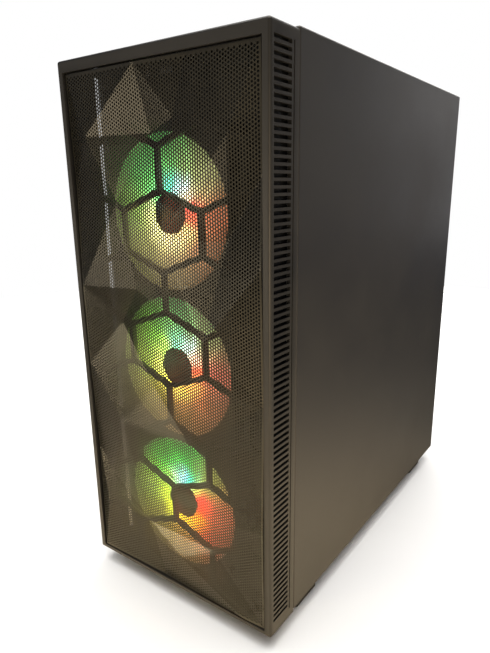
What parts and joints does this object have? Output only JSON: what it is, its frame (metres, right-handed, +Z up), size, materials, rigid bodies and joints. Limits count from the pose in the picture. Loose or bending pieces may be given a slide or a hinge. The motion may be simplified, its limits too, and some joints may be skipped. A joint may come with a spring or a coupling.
{
  "type": "desktop computer tower",
  "caption": "Desktop computer tower with a faceted perforated front over lit fans, slotted bezel sides, a steel side panel and a glass side panel.",
  "frame": {"origin": "centre of the overall box in X and Y, at the bottom of the feet", "axes": "+Z up, the perforated front faces -Y, the steel side panel is at +X and the glass one at -X"},
  "size_m": [0.201, 0.3914, 0.4532],
  "materials": {
    "black_steel": "powder coated black steel, fine texture",
    "brass_metal": "machined",
    "circuit_green": "black solder mask",
    "copper_metal": "nickel and copper, polished",
    "dark_anodised": "black anodised, brushed",
    "dark_plastic": "black plastic",
    "drive_metal": "cast and machined",
    "fan_plastic": "black moulded plastic",
    "filter_mesh": "fine nylon mesh",
    "fin_metal": "stamped sheet, plain",
    "foot_rubber": "moulded",
    "lit_blades": "frosted translucent plastic, lit from the hub",
    "perforated_steel": "satin black painted perforated sheet",
    "satin_plastic": "satin black moulded plastic, fine grain",
    "screw_steel": "black zinc plated steel",
    "socket_metal": "nickel plated connector shells",
    "tinted_glass": "tempered, smoke tinted"
  },
  "bodies": {
    "chassis": {"board_heatsinks": "fin_metal", "board_sockets": "dark_plastic", "board_standoffs": "brass_metal", "board_tray": "black_steel", "chassis_floor": "black_steel", "chassis_front": "black_steel", "chassis_rear": "black_steel", "chassis_roof": "black_steel", "cooler_base": "copper_metal", "cooler_fan_frame": "fan_plastic", "cooler_fins": "fin_metal", "drive_cage": "black_steel", "fan_guards": "screw_steel", "fan_screws": "screw_steel", "feet": "foot_rubber", "filter_rails": "dark_plastic", "front_fan_frame_1": "fan_plastic", "front_fan_frame_2": "fan_plastic", "front_fan_frame_3": "fan_plastic", "graphics_backplate": "dark_anodised", "graphics_board": "circuit_green", "graphics_heatsink": "fin_metal", "graphics_shroud": "dark_plastic", "hard_drive": "drive_metal", "io_shield": "fin_metal", "main_board": "circuit_green", "memory_modules": "dark_plastic", "rear_fan_frame": "fan_plastic", "rear_ports": "socket_metal", "slot_brackets": "fin_metal", "supply_case": "black_steel", "supply_fan_seat": "fan_plastic", "supply_inlet": "dark_plastic", "supply_shroud": "black_steel"},
    "bezel": {"bezel_frame": "satin_plastic", "vent_strip_right": "satin_plastic", "vent_strip_left": "satin_plastic", "front_mesh": "perforated_steel", "honeycomb_grille": "satin_plastic", "front_port_board": "circuit_green", "front_sockets": "socket_metal"},
    "power_button": {"power_button": "satin_plastic"},
    "light_button": {"light_button": "satin_plastic"},
    "right_panel": {"side_panel_right": "black_steel", "thumb_screws_right": "screw_steel"},
    "left_panel": {"glass_panel": "tinted_glass", "glass_frame": "black_steel", "thumb_screws_left": "screw_steel"},
    "top_filter": {"top_filter_frame": "dark_plastic", "top_filter_mesh": "filter_mesh"},
    "floor_filter": {"floor_filter": "dark_plastic"},
    "supply_switch": {"supply_switch": "dark_plastic"},
    "front_fan_rotor_1": {"front_fan_rotor_1": "lit_blades"},
    "front_fan_rotor_2": {"front_fan_rotor_2": "lit_blades"},
    "front_fan_rotor_3": {"front_fan_rotor_3": "lit_blades"},
    "rear_fan_rotor": {"rear_fan_rotor": "fan_plastic"},
    "cooler_fan_rotor": {"cooler_fan_rotor": "fan_plastic"},
    "supply_fan_rotor": {"supply_fan_rotor": "fan_plastic"},
    "graphics_rotor_1": {"graphics_rotor_1": "fan_plastic"},
    "graphics_rotor_2": {"graphics_rotor_2": "fan_plastic"}
  },
  "joints": [
    {"name": "front_fan_spin_1", "type": "hinge", "parent": "chassis", "child": "front_fan_rotor_1", "pos_m": [0, -0.17175, 0.093], "axis": [0, 1, 0], "continuous": true},
    {"name": "front_fan_spin_2", "type": "hinge", "parent": "chassis", "child": "front_fan_rotor_2", "pos_m": [0, -0.17175, 0.2145], "axis": [0, 1, 0], "continuous": true},
    {"name": "front_fan_spin_3", "type": "hinge", "parent": "chassis", "child": "front_fan_rotor_3", "pos_m": [0, -0.17175, 0.336], "axis": [0, 1, 0], "continuous": true},
    {"name": "rear_fan_spin", "type": "hinge", "parent": "chassis", "child": "rear_fan_rotor", "pos_m": [-0.0292, 0.17525, 0.384], "axis": [0, 1, 0], "continuous": true},
    {"name": "cooler_fan_spin", "type": "hinge", "parent": "chassis", "child": "cooler_fan_rotor", "pos_m": [-0.0155, 0.067, 0.361], "axis": [0, 1, 0], "continuous": true},
    {"name": "supply_fan_spin", "type": "hinge", "parent": "chassis", "child": "supply_fan_rotor", "pos_m": [0.005, 0.10965, 0.028], "axis": [0, 0, 1], "continuous": true},
    {"name": "graphics_fan_spin_1", "type": "hinge", "parent": "chassis", "child": "graphics_rotor_1", "pos_m": [0.01295, 0.007, 0.229], "axis": [0, 0, 1], "continuous": true},
    {"name": "graphics_fan_spin_2", "type": "hinge", "parent": "chassis", "child": "graphics_rotor_2", "pos_m": [0.01295, 0.115, 0.229], "axis": [0, 0, 1], "continuous": true},
    {"name": "bezel_pull", "type": "slide", "parent": "chassis", "child": "bezel", "axis": [0, -1, 0], "range_m": [0, 0.06]},
    {"name": "power_press", "type": "slide", "parent": "bezel", "child": "power_button", "axis": [0, 0, -1], "range_m": [0, 0.002], "stiffness_N_per_m": 400, "springref_m": -0.002},
    {"name": "light_press", "type": "slide", "parent": "bezel", "child": "light_button", "axis": [0, 0, -1], "range_m": [0, 0.002], "stiffness_N_per_m": 300, "springref_m": -0.002},
    {"name": "right_panel_slide", "type": "slide", "parent": "chassis", "child": "right_panel", "axis": [0, 1, 0], "range_m": [0, 0.025]},
    {"name": "left_panel_slide", "type": "slide", "parent": "chassis", "child": "left_panel", "axis": [0, 1, 0], "range_m": [0, 0.025]},
    {"name": "top_filter_lift", "type": "slide", "parent": "chassis", "child": "top_filter", "axis": [0, 0, 1], "range_m": [0, 0.04]},
    {"name": "floor_filter_slide", "type": "slide", "parent": "chassis", "child": "floor_filter", "axis": [0, 1, 0], "range_m": [0, 0.13]},
    {"name": "supply_switch_rock", "type": "hinge", "parent": "chassis", "child": "supply_switch", "pos_m": [0.0585, 0.18615, 0.0761], "axis": [1, 0, 0], "range_deg": [-2, 12]}
  ]
}
